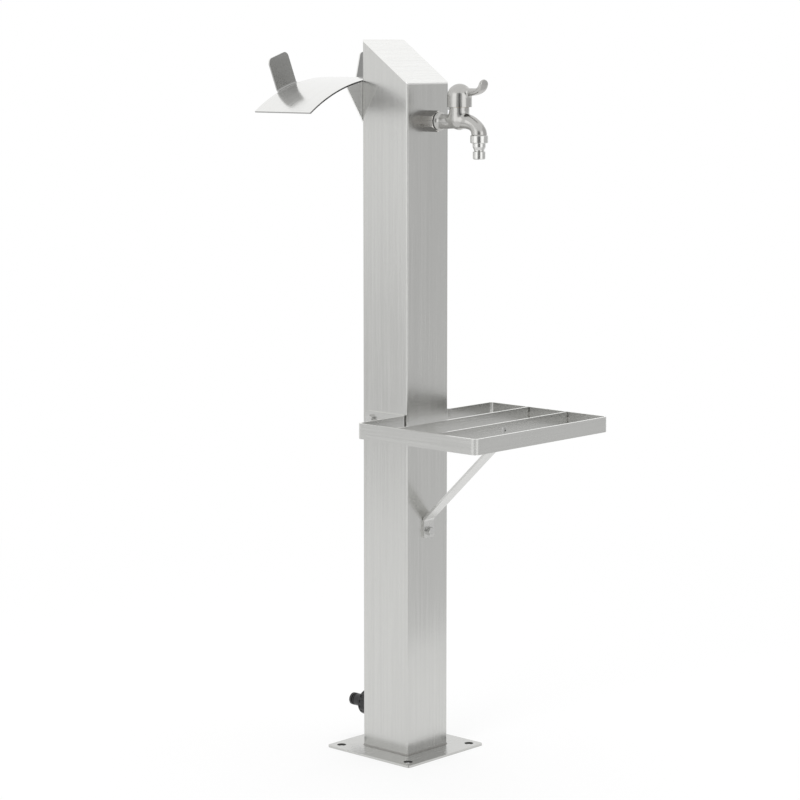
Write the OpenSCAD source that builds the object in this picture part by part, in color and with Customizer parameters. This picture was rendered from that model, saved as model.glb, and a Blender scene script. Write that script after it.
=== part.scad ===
// Garden standpipe: square steel post on a foot plate, with a tap, a bucket shelf,
// a hose saddle and a quick-coupling water inlet. Millimetres, +Z up, the tap faces -Y.
// The origin is the middle of the foot plate's underside.

/* [Post] */
// Outer width of the square post
post_w = 80; // [70:1:100]
// Wall of the post
post_wall = 1.2; // [1:0.1:2]
// Outer corner radius of the post
post_corner = 2.2; // [2.1:0.1:5]
// Highest point, at the back edge of the lid
total_h = 950; // [930:5:1100]
// Slope of the lid, which falls to the front, in degrees
lid_slope = 35; // [20:1:36]
// Thickness of the lid
lid_t = 1.5; // [1:0.1:3]

/* [Foot] */
// Width of the square foot plate
base_w = 150; // [140:1:200]
// Thickness of the foot plate
base_t = 3; // [2:0.5:8]
// Corner radius of the foot plate
base_corner = 5; // [2:0.5:10]
// Distance from a plate edge to the middle of a ground hole
ground_inset = 14; // [11:0.5:16]
// Diameter of the ground holes
ground_hole_d = 12; // [8:0.5:14]
// Width of the opening under the post, through which the fittings are reached
access_w = 58; // [40:1:62]
// Leg of the weld seam round the foot of the post
base_weld_leg = 1.5; // [1:0.5:4]

/* [Shelf] */
// Height of the shelf's upper edge
shelf_top = 461; // [440:1:520]
// Width of the shelf from side to side
shelf_w = 265; // [200:1:320]
// Distance from the post's middle to the shelf's front face
shelf_reach = 239; // [180:1:300]
// Height of the flat bar of the shelf
bar_h = 20; // [18:1:30]
// Thickness of the flat bar of the shelf
bar_t = 3; // [2:0.5:5]
// Inner radius of the bends in the flat bar
bar_bend = 4.5; // [2:0.5:8]
// Distance of the rear bar's front face behind the post's front face
rim_setback = 0.5; // [0:0.5:10]
// Distance from the post's middle back to the end of each side tab
tab_reach = 33; // [28:1:36]
// Distance from a tab's end to its bolt
tab_bolt_inset = 11; // [8:0.5:14]
// Gap left at the right end of each cross bar, bridged by a tack weld
slat_gap = 2; // [1:0.5:4]
// Height of a tack weld
tack_h = 6; // [3:0.5:10]

/* [Brace] */
// Width of the brace
brace_w = 20; // [18:1:30]
// Thickness of the brace
brace_t = 3; // [2:0.5:5]
// Height of the brace's lower bolt
brace_bolt_z = 302; // [260:1:340]
// Distance from the lower bolt down to the tab's end
brace_tab_below = 8.5; // [8:0.5:14]
// Distance from a brace bolt to the bend beside it
brace_bolt_to_bend = 14; // [10:0.5:20]
// Inner radius of the brace's bends
brace_bend = 4; // [2:0.5:8]
// Corner radius at the ends of the brace
brace_corner = 3; // [1:0.5:6]

/* [Fasteners] */
// Thread diameter of the bolts
bolt_d = 6; // [5:1:6]
// Width across flats of the bolt heads
bolt_af = 10; // [8:0.5:10]
// Height of the bolt heads
bolt_head_h = 4; // [3:0.5:5]
// Length of a bolt below its head
bolt_l = 16; // [12:1:20]
// Diameter of the washers
washer_d = 12; // [11:0.5:14]
// Thickness of the washers
washer_t = 1.2; // [0.8:0.2:2]
// Play between a bolt and its clearance hole, on the radius
bolt_play = 0.3; // [0.2:0.1:0.5]
// Outer diameter of the rivet nuts' sleeves
rivet_d = 9; // [8.5:0.5:10]
// Length of a rivet nut
rivet_l = 13; // [10:0.5:15]

/* [Hose holder] */
// Drop from the post's top to the saddle's crown
saddle_drop = 49.6; // [45:0.2:65]
// Radius of the saddle's upper surface
saddle_r = 237.5; // [200:0.5:300]
// Width of the saddle, straight across its ends
saddle_span = 275; // [220:1:320]
// Distance from the post's middle to the saddle's free edge
saddle_reach = 142; // [110:1:180]
// Thickness of the saddle sheet
saddle_t = 2; // [1.5:0.5:3]
// Width of each lip
lip_w = 37; // [25:1:45]
// Height of each lip above the saddle
lip_h = 43.5; // [30:1:60]
// Distance between the middles of the two lips
lip_pitch = 150; // [120:1:180]
// Outward lean of the lips, in degrees
lip_lean = 4.5; // [0:0.5:12]
// Corner radius of the lips
lip_corner = 7; // [2:0.5:12]
// Inner radius of the fold under each lip
lip_bend = 3; // [1:0.5:5]
// Width of the relief cut beside each lip
lip_relief = 1; // [0.5:0.5:3]
// Thickness of the back plate
plate_t = 2; // [1.5:0.5:4]
// Width of the back plate where it meets the saddle
plate_top_w = 138; // [110:1:180]
// Width of the back plate at its lower end
plate_foot_w = 36; // [30:1:60]
// Height of the back plate from its lower end to the saddle's crown
plate_h = 87.4; // [75:0.2:100]
// Drop from the saddle's crown to the upper bolts of the back plate
plate_bolt_drop = 28.4; // [24:0.2:38]
// Distance between the two upper bolts of the back plate
plate_bolt_pitch = 48; // [36:1:56]
// Distance from the back plate's lower end to its lowest bolt
plate_bolt_inset = 15; // [10:0.5:20]

/* [Tap] */
// Drop from the post's top to the tap's inlet
tap_drop = 105.5; // [100:0.5:150]
// Width across flats of the hexagonal adapter
hex_af = 24; // [22:0.5:30]
// Length of the hexagon outside the post
hex_l = 18; // [10:0.5:26]
// Thread diameter of the adapter's tail inside the post
tail_d = 20.8; // [18:0.2:21]
// Length of the adapter's tail from the post's front face
tail_l = 18; // [15:0.5:22]
// Thickness of the gasket between adapter and tap body
gasket_t = 2; // [1:0.5:4]
// Distance from the post's front face to the valve stem
stem_reach = 54.5; // [52:0.5:70]
// Diameter of the tap's horizontal barrel
barrel_d = 19; // [18:0.5:21]
// Diameter of the inlet shoulder
shoulder_d = 24.6; // [23:0.2:27]
// Diameter of the valve neck
neck_d = 25.5; // [23:0.5:27]
// Height of the neck's rim above the inlet
neck_h = 18.7; // [18:0.1:24]
// Distance from the stem to the spout's middle
spout_reach = 33.6; // [28:0.2:50]
// Drop from the inlet to the spout's end face
spout_drop = 16.5; // [16:0.5:40]
// Diameter of the spout at the neck
spout_root_d = 20.6; // [18:0.2:22]
// Diameter of the spout at its waist
spout_waist_d = 17.8; // [13.4:0.2:18.6]
// Diameter of the spout above the collar
spout_end_d = 20.4; // [17.8:0.2:21]
// Diameter of the water passages
water_d = 9; // [7:0.5:10]
// Diameter of the valve chamber in the neck
chamber_d = 18; // [17:0.5:19]

/* [Handle] */
// Diameter of the handle's cap
cap_d = 32; // [28:0.5:36]
// Wall of the cap
cap_wall = 1.7; // [1.2:0.1:1.8]
// Gap between the cap's rim and the neck
cap_gap = 0.4; // [0.3:0.1:1]
// Height of the cap's straight side
cap_side_h = 13.9; // [13:0.1:22]
// Diameter of the spindle
spindle_d = 8; // [6:0.5:9]
// Reach of the lever from the spindle's middle
lever_reach = 41; // [38:0.2:70]
// Rise of the lever's tip above its root
lever_rise = 16; // [4:0.5:30]
// Width of the lever at its root
lever_root_w = 9; // [8:0.5:14]
// Width of the lever's paddle
lever_paddle_w = 16.5; // [12:0.5:20]
// Thickness of the lever at its root
lever_root_t = 11.2; // [8:0.2:12]
// Thickness of the lever at its tip
lever_tip_t = 2.8; // [2:0.2:5]

/* [Hose nipple] */
// Diameter of the nipple's collar
collar_d = 23; // [21:0.5:28]
// Height of the collar
collar_h = 10; // [7:0.5:14]
// Diameter of the nipple's end
nipple_d = 16.2; // [14:0.2:17]
// Length of the nipple below the collar
nipple_l = 20.7; // [18:0.1:30]

/* [Inlet] */
// Height of the water inlet
inlet_z = 49; // [45:1:90]
// Thread diameter of the stub where it passes the post's wall
stub_d = 16; // [14:0.5:18]
// Width across flats of the stub's collar
stub_af = 27; // [26:0.5:32]
// Thickness of the stub's collar
stub_collar_t = 6; // [4:0.5:8]
// Thread diameter of the stub's outer end
stub_thread_d = 26; // [22:0.5:26]
// Length of the stub's outer thread
stub_thread_l = 16; // [12:0.5:20]
// Diameter of the coupling's grip
grip_d = 34; // [32:0.5:40]
// Length of the coupling's grip
grip_l = 20; // [18:0.5:26]
// Length of the coupling's tail
coupling_tail_l = 24.4; // [22:0.2:32]
// Diameter of the coupling's tail
coupling_d = 16.8; // [15:0.2:18]
// Number of grip flutes on the coupling
flutes = 14; // [6:1:18]

/* [Supply hose] */
// Outer diameter of the supply hose
hose_d = 15; // [13:0.5:18]
// Bore of the supply hose
hose_bore = 10; // [8:0.5:11]

/* [Hidden] */
$fn = 48;

steel = [0.74, 0.74, 0.72];
bright_steel = [0.82, 0.82, 0.8];
black = [0.07, 0.07, 0.07];
brass = [0.8, 0.65, 0.35];

// Clearance of a part that runs or slides in another, on the radius
fit = 0.05;
// Small overshoot of a cut past the face it opens
cut = 1;
// Overlap of a straight piece with the bend it runs into
lap = 0.02;
half_post = post_w / 2;
inner_half = half_post - post_wall;
bolt_hole_r = bolt_d / 2 + bolt_play;
saddle_top = total_h - saddle_drop;
plate_foot_z = saddle_top - plate_h;
plate_bolt_z = saddle_top - plate_bolt_drop;
tap_z = total_h - tap_drop;

// Two-dimensional helpers

module rounded_plate(w, d, r) {
    square([w - 2 * r, d], center = true);
    square([w, d - 2 * r], center = true);
    for (x = [-1, 1], y = [-1, 1])
        translate([x * (w / 2 - r), y * (d / 2 - r)]) circle(r);
}

// Part of a ring between two angles that are less than 150 degrees apart
module ring_sector(r_in, r_out, from, to) {
    middle = (from + to) / 2;
    far = 2 * r_out;
    intersection() {
        difference() {
            circle(r_out);
            circle(r_in);
        }
        polygon([[0, 0], for (a = [from, middle, to]) far * [cos(a), sin(a)]]);
    }
}

// Placing helpers: a flat outline drawn in (Y, Z) or (X, Z) is extruded along the third axis

module along_x(x0, x1) {
    translate([x0, 0, 0]) rotate([90, 0, 90]) linear_extrude(x1 - x0) children();
}

module along_y(y0, y1) {
    translate([0, y1, 0]) rotate([90, 0, 0]) linear_extrude(y1 - y0) children();
}

// A piece drawn along +Z from the post's middle, laid to the front, the back or a side
module to_front(z) {
    translate([0, 0, z]) rotate([90, 0, 0]) children();
}

module to_back(z) {
    translate([0, 0, z]) rotate([-90, 0, 0]) children();
}

module to_side(side, z) {
    translate([0, 0, z]) rotate([0, side * 90, 0]) children();
}

module hex_prism(af, h) {
    cylinder(h = h, r = af / 2 / cos(30), $fn = 6);
}

// Hexagon whose corners are chamfered at one or both ends
module hex_chamfered(af, h, both = false) {
    corner = af / 2 / cos(30);
    chamfer = corner - af / 2;
    intersection() {
        hex_prism(af, h);
        rotate_extrude()
            polygon([[0, 0], [both ? af / 2 : corner, 0], [corner, both ? chamfer / 2 : 0],
                [corner, h - chamfer / 2], [af / 2, h], [0, h]]);
    }
}

module ring(r_in, r_out, h) {
    difference() {
        cylinder(h = h, r = r_out);
        translate([0, 0, -cut]) cylinder(h = h + 2 * cut, r = r_in);
    }
}

// Cylinder from z = 0 up to h that closes with a half ball
module domed(r, h) {
    rotate_extrude() {
        square([r, h]);
        translate([0, h]) intersection() {
            circle(r);
            square(r);
        }
    }
}

// Fasteners, drawn along +Z with the seat of the head at z = 0 and the shank below it

module hex_bolt() {
    hex_chamfered(bolt_af, bolt_head_h);
    translate([0, 0, -bolt_l]) cylinder(h = bolt_l, r = bolt_d / 2);
}

module flat_washer() {
    ring(bolt_hole_r, washer_d / 2, washer_t);
}

rivet_r = rivet_d / 2;
sink_depth = post_wall / 2;
sink_r = rivet_r + sink_depth;
bulb_r = rivet_r + 1.5;
bulb_h = 2.5;

// Rivet nut with its countersunk rim at z = 0 and its sleeve below
module rivet_nut() {
    rotate_extrude()
        polygon([[bolt_d / 2 + fit, 0], [sink_r - fit, 0], [rivet_r - fit, -sink_depth],
            [rivet_r - fit, -post_wall], [bulb_r, -post_wall], [rivet_r, -post_wall - bulb_h],
            [rivet_r, -rivet_l], [bolt_d / 2 + fit, -rivet_l]]);
}

module rivet_hole() {
    rotate_extrude()
        polygon([[0, cut], [sink_r + cut, cut], [rivet_r, -sink_depth],
            [rivet_r, -post_wall - cut], [0, -post_wall - cut]]);
}

// Places of the fasteners in the wall of the post

tab_bolt_y = tab_reach - tab_bolt_inset;
tab_bolt_z = shelf_top - bar_h / 2;
plate_low_bolt_z = plate_foot_z + plate_bolt_inset;

module at_shelf_bolts(standoff = 0) {
    for (side = [-1, 1])
        translate([0, tab_bolt_y, 0])
            to_side(side, tab_bolt_z) translate([0, 0, half_post + standoff]) children();
}

module at_brace_foot(standoff = 0) {
    to_front(brace_bolt_z) translate([0, 0, half_post + standoff]) children();
}

module at_plate_bolts(standoff = 0) {
    for (p = [[-plate_bolt_pitch / 2, plate_bolt_z], [plate_bolt_pitch / 2, plate_bolt_z],
            [0, plate_low_bolt_z]])
        translate([p[0], 0, 0]) to_back(p[1]) translate([0, 0, half_post + standoff]) children();
}

// Post and foot

// Everything above the lid's slope, lowered by a vertical drop
module above_slope(drop) {
    reach = 3 * post_w;
    translate([0, half_post, total_h - drop]) rotate([lid_slope, 0, 0])
        translate([-reach / 2, -reach, 0]) cube([reach, 2 * reach, reach]);
}

lid_drop = lid_t / cos(lid_slope);

module post_outline() {
    rounded_plate(post_w, post_w, post_corner);
}

module post_tube() {
    color(steel)
    difference() {
        translate([0, 0, base_t]) linear_extrude(total_h - base_t) difference() {
            post_outline();
            rounded_plate(2 * inner_half, 2 * inner_half, post_corner - post_wall);
        }
        above_slope(lid_drop);
        at_shelf_bolts() rivet_hole();
        at_brace_foot() rivet_hole();
        at_plate_bolts() rivet_hole();
        to_front(tap_z) translate([0, 0, inner_half - cut])
            cylinder(h = post_wall + 2 * cut, r = tail_d / 2 + fit);
        to_back(inlet_z) translate([0, 0, inner_half - cut])
            cylinder(h = post_wall + 2 * cut, r = stub_d / 2 + fit);
    }
}

module top_lid() {
    lid_low = total_h - post_w * tan(lid_slope) - lid_drop;
    color(bright_steel)
    intersection() {
        difference() {
            translate([0, 0, lid_low - cut]) linear_extrude(total_h - lid_low + 2 * cut) post_outline();
            above_slope(0);
        }
        above_slope(lid_drop);
    }
}

module base_plate() {
    pitch = base_w - 2 * ground_inset;
    color(steel)
    linear_extrude(base_t) difference() {
        rounded_plate(base_w, base_w, base_corner);
        for (x = [-1, 1], y = [-1, 1])
            translate([x, y] * pitch / 2) circle(ground_hole_d / 2);
        rounded_plate(access_w, access_w, base_corner);
    }
}

module base_weld() {
    side = post_w - 2 * post_corner;
    color(steel)
    translate([0, 0, base_t])
        for (turn = [0 : 90 : 270]) rotate([0, 0, turn]) {
            translate([half_post, 0, 0]) rotate([90, 0, 0]) linear_extrude(side, center = true)
                polygon([[0, 0], [base_weld_leg, 0], [0, base_weld_leg]]);
            translate([side / 2, side / 2, 0]) rotate_extrude(angle = 90)
                translate([post_corner, 0]) polygon([[0, 0], [base_weld_leg, 0], [0, base_weld_leg]]);
        }
}

// Shelf

rim_front_face = -half_post + rim_setback;
rim_rear_face = rim_front_face + bar_t;
bend_centre = [half_post + bar_t + bar_bend, rim_rear_face + bar_bend];
rim_depth = rim_rear_face + shelf_reach;
slat_pitch = (rim_depth - bar_t) / 3;
slat_l = shelf_w - 2 * bar_t - slat_gap;
slat_rear_y = rim_rear_face - bar_t / 2 - slat_pitch;
slat_front_y = slat_rear_y - slat_pitch;
insert_r = rivet_r;

module shelf_rim() {
    inner_depth = rim_depth - 2 * bar_t;
    bar_outer = bar_bend + bar_t;
    tab_l = tab_reach - bend_centre[1];
    color(steel) {
        translate([0, 0, shelf_top - bar_h]) linear_extrude(bar_h) {
            difference() {
                translate([0, rim_rear_face - rim_depth / 2]) difference() {
                    rounded_plate(shelf_w, rim_depth, bar_outer);
                    rounded_plate(shelf_w - 2 * bar_t, inner_depth, bar_bend);
                }
                translate([-bend_centre[0], rim_front_face - cut])
                    square([2 * bend_centre[0], bar_t + 2 * cut]);
            }
            for (side = [0, 1]) mirror([side, 0])
                translate(bend_centre) ring_sector(bar_bend, bar_outer, 180, 270);
        }
        for (side = [0, 1]) mirror([side, 0, 0])
            along_x(half_post, half_post + bar_t)
                translate([bend_centre[1] + tab_l / 2, tab_bolt_z]) difference() {
                    union() {
                        rounded_plate(tab_l, bar_h, bar_bend);
                        translate([-tab_l / 2, -bar_h / 2]) square([tab_l / 2, bar_h]);
                    }
                    translate([tab_l / 2 - tab_bolt_inset, 0]) circle(bolt_hole_r);
                }
    }
}

module slat(y, hole_r) {
    translate([-shelf_w / 2 + bar_t, y - bar_t / 2, shelf_top - bar_h]) cube([slat_l, bar_t, bar_h]);
}

module shelf_slat_rear() {
    color(steel) slat(slat_rear_y);
}

module shelf_slat_front() {
    color(steel)
    difference() {
        slat(slat_front_y);
        to_front(tab_bolt_z) translate([0, 0, -slat_front_y - bar_t])
            cylinder(h = 2 * bar_t, r = insert_r);
    }
}

// Tack welds: a plug in the gap at each right end, a fillet in the corner at each left end
module shelf_welds() {
    tack_z = tab_bolt_z - tack_h / 2;
    inner_x = shelf_w / 2 - bar_t;
    fillet = bar_t * 0.6;
    color(steel)
    for (y = [slat_rear_y, slat_front_y]) {
        translate([inner_x - slat_gap, y - bar_t / 2, tack_z]) cube([slat_gap, bar_t, tack_h]);
        translate([-inner_x, y + bar_t / 2, tack_z]) linear_extrude(tack_h)
            polygon([[0, 0], [fillet, 0], [0, fillet]]);
    }
}

insert_rim_t = 0.7;

// Threaded insert pressed into the front cross bar, with its thin rim on the front
module slat_insert() {
    color(bright_steel)
    to_front(tab_bolt_z) translate([0, 0, -slat_front_y]) rotate_extrude()
        polygon([[bolt_d / 2 + fit, -bar_t / 2], [insert_r - fit, -bar_t / 2],
            [insert_r - fit, bar_t / 2], [insert_r + 0.6, bar_t / 2],
            [insert_r + 0.3, bar_t / 2 + insert_rim_t], [bolt_d / 2 + fit, bar_t / 2 + insert_rim_t]]);
}

module shelf_bolts() {
    color(bright_steel) at_shelf_bolts(bar_t + washer_t) hex_bolt();
}

module shelf_washers() {
    color(bright_steel) at_shelf_bolts(bar_t) flat_washer();
}

// Brace: an S of flat bar, drawn in the plane of Y and Z

brace_r = brace_bend + brace_t / 2;
brace_foot_y = -half_post - brace_t / 2;
brace_head_y = slat_front_y + bar_t / 2 + brace_t / 2;
brace_low_z = brace_bolt_z + brace_bolt_to_bend;
brace_high_z = tab_bolt_z - brace_bolt_to_bend + 3;
brace_foot_end = brace_bolt_z - brace_tab_below;
brace_head_end = shelf_top - 1;
// The bends' centres and the straight length that touches both bends
brace_c1 = [brace_foot_y - brace_r, brace_low_z];
brace_c2 = [brace_head_y + brace_r, brace_high_z];
brace_span = norm(brace_c2 - brace_c1);
brace_straight = sqrt(brace_span * brace_span - 4 * brace_r * brace_r);
brace_turn = atan2(brace_c1[0] - brace_c2[0], brace_c2[1] - brace_c1[1]) + asin(2 * brace_r / brace_span);

module brace_outline() {
    half = brace_t / 2;
    translate([brace_foot_y - half, brace_foot_end])
        square([brace_t, brace_low_z + lap - brace_foot_end]);
    translate([brace_head_y - half, brace_high_z - lap])
        square([brace_t, brace_head_end + lap - brace_high_z]);
    translate(brace_c1) {
        ring_sector(brace_bend, brace_bend + brace_t, 0, brace_turn);
        rotate([0, 0, brace_turn]) translate([brace_bend, -lap]) square([brace_t, brace_straight + 2 * lap]);
    }
    translate(brace_c2) ring_sector(brace_bend, brace_bend + brace_t, 180, 180 + brace_turn);
}

module brace_strut() {
    color(steel)
    intersection() {
        difference() {
            along_x(-brace_w / 2, brace_w / 2) brace_outline();
            to_front(brace_bolt_z) translate([0, 0, half_post - cut])
                cylinder(h = brace_t + 2 * cut, r = bolt_hole_r);
            to_front(tab_bolt_z) translate([0, 0, -brace_head_y - brace_t])
                cylinder(h = 2 * brace_t, r = bolt_hole_r);
        }
        along_y(-shelf_reach, 0)
            translate([0, (brace_foot_end + brace_head_end) / 2])
                rounded_plate(brace_w, brace_head_end - brace_foot_end, brace_corner);
    }
}

head_bolt_l = brace_t + washer_t + bar_t - 0.6;

module brace_bolts() {
    color(bright_steel) {
        at_brace_foot(brace_t + washer_t) hex_bolt();
        to_back(tab_bolt_z) translate([0, 0, brace_head_y + brace_t / 2 + washer_t]) {
            hex_chamfered(bolt_af, bolt_head_h);
            translate([0, 0, -head_bolt_l]) cylinder(h = head_bolt_l, r = bolt_d / 2);
        }
    }
}

module brace_washers() {
    color(bright_steel) {
        at_brace_foot(brace_t) flat_washer();
        to_back(tab_bolt_z) translate([0, 0, brace_head_y + brace_t / 2]) flat_washer();
    }
}

module post_rivet_nuts() {
    color(bright_steel) {
        at_shelf_bolts() rivet_nut();
        at_brace_foot() rivet_nut();
        at_plate_bolts() rivet_nut();
    }
}

// Hose holder

saddle_axis_z = saddle_top - saddle_r;
saddle_inner_r = saddle_r - saddle_t;
saddle_half_angle = asin(saddle_span / 2 / saddle_r);
lip_angle = asin(lip_pitch / 2 / saddle_r);

// A piece drawn at the crown, turned round the saddle's axis to the middle of a lip
module at_lips() {
    for (side = [-1, 1])
        translate([0, 0, saddle_axis_z]) rotate([0, side * lip_angle, 0]) children();
}

function arc_points(centre, r, from, to, steps) =
    [for (i = [0 : steps]) let(a = from + (to - from) * i / steps) centre + r * [cos(a), sin(a)]];

// Section of the sheet along the post's Y, measured outwards from the saddle's axis:
// the flat run, the fold and the lip
module saddle_profile() {
    centre = [saddle_r + lip_bend, saddle_reach];
    lip_dir = [cos(lip_lean), sin(lip_lean)];
    across = [-sin(lip_lean), cos(lip_lean)];
    polygon(concat(
        [[saddle_r, half_post], [saddle_inner_r, half_post]],
        arc_points(centre, lip_bend + saddle_t, 180, 90 + lip_lean, 10),
        [centre + (lip_bend + saddle_t) * across + lip_h * lip_dir,
            centre + lip_bend * across + lip_h * lip_dir],
        arc_points(centre, lip_bend, 90 + lip_lean, 180, 10)));
}

// Space kept for the lips: parallel sides and two rounded corners on top
module lip_space() {
    tall = lip_h + 2 * lip_bend;
    at_lips() along_y(saddle_reach - cut, saddle_reach + lip_h)
        translate([0, saddle_r + lip_h - tall / 2]) {
            rounded_plate(lip_w, tall, lip_corner);
            translate([-lip_w / 2, -tall / 2]) square([lip_w, tall / 2]);
        }
}

module hose_saddle() {
    deep = saddle_reach - half_post;
    color(bright_steel)
    intersection() {
        translate([0, 0, saddle_axis_z]) rotate([-90, 0, 0]) rotate([0, 0, -90 - saddle_half_angle])
            rotate_extrude(angle = 2 * saddle_half_angle) saddle_profile();
        difference() {
            union() {
                translate([-saddle_span, half_post - cut, saddle_axis_z])
                    cube([2 * saddle_span, deep + cut, saddle_r + cut]);
                lip_space();
            }
            // Relief cuts beside the folds
            at_lips() for (side = [-1, 1])
                translate([side * (lip_w + lip_relief) / 2, saddle_reach, saddle_r])
                    cube([lip_relief, 2 * lip_bend, 4 * saddle_t], center = true);
        }
    }
}

module saddle_back_plate() {
    half_top = plate_top_w / 2;
    half_foot = plate_foot_w / 2;
    color(steel)
    difference() {
        along_y(half_post, half_post + plate_t) intersection() {
            translate([0, saddle_axis_z]) circle(saddle_inner_r);
            polygon([[-half_foot, plate_foot_z], [half_foot, plate_foot_z],
                [half_top, saddle_top - saddle_t - half_top * half_top / 2 / saddle_r],
                [half_top, saddle_top], [-half_top, saddle_top],
                [-half_top, saddle_top - saddle_t - half_top * half_top / 2 / saddle_r]]);
        }
        at_plate_bolts(-cut) cylinder(h = plate_t + 2 * cut, r = bolt_hole_r);
    }
}

// Three stitches between the underside of the saddle and the back plate
module saddle_welds() {
    stitch = 5;
    leg = 2.5;
    color(steel)
    translate([0, 0, saddle_axis_z]) rotate([-90, 0, 0])
        for (a = [-11, 0, 11]) rotate([0, 0, a - 90 - stitch / 2]) rotate_extrude(angle = stitch)
            translate([saddle_inner_r, half_post + plate_t]) polygon([[0, 0], [-leg, 0], [0, leg]]);
}

module saddle_bolts() {
    color(bright_steel) at_plate_bolts(plate_t + washer_t) hex_bolt();
}

module saddle_washers() {
    color(bright_steel) at_plate_bolts(plate_t) flat_washer();
}

// Tap: the inlet runs to the front, the stem stands on it, the spout bends down

hex_end = half_post + hex_l;
body_face = hex_end + gasket_t;
stem_y = half_post + stem_reach;
neck_top = tap_z + neck_h;
seat_z = tap_z + 4.5;
water_r = water_d / 2;
thread_r = 7.5;
thread_l = 9;
spout_y = stem_y + spout_reach;
spout_z = tap_z - spout_drop;
// The ball under the neck stands this much above the barrel's middle, and the barrel ends inside it
bulb_inset = 2;
lock_nut_t = 6;
lock_washer_t = 1;

module at_stem(z) {
    translate([0, -stem_y, z]) children();
}

module tap_adapter() {
    color(bright_steel)
    to_front(tap_z) difference() {
        union() {
            translate([0, 0, half_post]) rotate([0, 0, 30]) hex_chamfered(hex_af, hex_l, true);
            translate([0, 0, half_post - tail_l]) cylinder(h = tail_l + cut, r = tail_d / 2);
            translate([0, 0, hex_end - cut]) cylinder(h = thread_l + cut, r = thread_r);
        }
        translate([0, 0, half_post - tail_l - cut]) cylinder(h = tail_l + hex_l + thread_l + 2 * cut, r = water_r);
    }
}

module tap_gasket() {
    color(black) to_front(tap_z) translate([0, 0, hex_end])
        ring(thread_r + fit, hex_af / 2 - 0.4, gasket_t);
}

module tap_lock_washer() {
    color(steel) to_front(tap_z) translate([0, 0, inner_half - lock_washer_t])
        ring(tail_d / 2 + fit, tail_d / 2 + 4, lock_washer_t);
}

module tap_lock_nut() {
    color(brass) to_front(tap_z) translate([0, 0, inner_half - lock_washer_t - lock_nut_t])
        difference() {
            hex_chamfered(tail_d + 6, lock_nut_t, true);
            translate([0, 0, -cut]) cylinder(h = lock_nut_t + 2 * cut, r = tail_d / 2 + fit);
        }
}

// Outside of the barrel: the inlet shoulder falls in a curve to the barrel's own diameter
module barrel() {
    shoulder_l = 2;
    fall_l = 5;
    steps = 6;
    barrel_r = barrel_d / 2;
    drop = shoulder_d / 2 - barrel_r;
    to_front(tap_z) rotate_extrude()
        polygon([[0, body_face], [shoulder_d / 2 - 0.6, body_face], [shoulder_d / 2, body_face + 0.6],
            [shoulder_d / 2, body_face + shoulder_l],
            for (i = [1 : steps]) [barrel_r + drop * (1 - sin(i * 90 / steps)),
                body_face + shoulder_l + fall_l * (1 - cos(i * 90 / steps))],
            [barrel_r, stem_y - bulb_inset], [0, stem_y - bulb_inset]]);
}

// A closed skin over rings of points, every ring with the same number of points, which turn
// against the clock as seen from the last ring's side
module loft(rings) {
    n = len(rings[0]);
    last = len(rings) - 1;
    polyhedron(
        points = [for (r = rings) each r],
        faces = [
            [for (i = [0 : n - 1]) i],
            for (k = [0 : last - 1], i = [0 : n - 1]) each [
                [k * n + i, (k + 1) * n + i, k * n + (i + 1) % n],
                [k * n + (i + 1) % n, (k + 1) * n + i, (k + 1) * n + (i + 1) % n]],
            [for (i = [0 : n - 1]) last * n + n - 1 - i]]);
}

// Middle line of the spout: forward from the stem, then a quarter of an ellipse down to the end.
// t runs from 0 to 1, and the result is [distance to the front, height, angle below level].
spout_lead = 7.5;
spout_start_z = tap_z + 1;
function spout_line(t) =
    let(a = 90 * t, w = spout_reach - spout_lead, h = spout_start_z - spout_z)
    [stem_y + spout_lead + w * sin(a), spout_start_z - h * (1 - cos(a)), atan2(h * sin(a), w * cos(a))];

// Its radius narrows from the root to the waist at half way and widens again to the end
function spout_radius(t) =
    let(s = (1 + cos(360 * t)) / 2,
        end = t < 0.5 ? spout_root_d : spout_end_d)
    spout_waist_d / 2 + s * (end - spout_waist_d) / 2;

function spout_ring(t, r, n) =
    let(p = spout_line(t))
    [for (i = [0 : n - 1]) let(a = 360 * i / n)
        [r * cos(a), -p[0] - r * sin(a) * sin(p[2]), p[1] + r * sin(a) * cos(p[2])]];

module spout() {
    sides = 32;
    steps = 12;
    lead = [for (p = spout_ring(0, spout_root_d / 2, sides)) p + [0, spout_lead - 1.3, 0]];
    loft([lead, for (i = [0 : steps]) spout_ring(i / steps, spout_radius(i / steps), sides)]);
}

spout_thread_r = 8.6;
spout_thread_l = 7.5;

// The passage to the spout leaves the chamber level and turns down in a round elbow
module spout_passage() {
    bend = 9;
    level_z = spout_z + bend + 6;
    translate([0, -spout_y, spout_z - spout_thread_l - cut])
        cylinder(h = level_z - bend - spout_z + spout_thread_l + cut, r = water_r);
    translate([0, bend - spout_y, level_z - bend]) rotate([90, 0, -90])
        rotate_extrude(angle = 90) translate([bend, 0]) circle(water_r);
    translate([0, -stem_y - chamber_d / 2 + 1, level_z]) rotate([90, 0, 0])
        cylinder(h = spout_reach - bend - chamber_d / 2 + 1, r = water_r);
}

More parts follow.
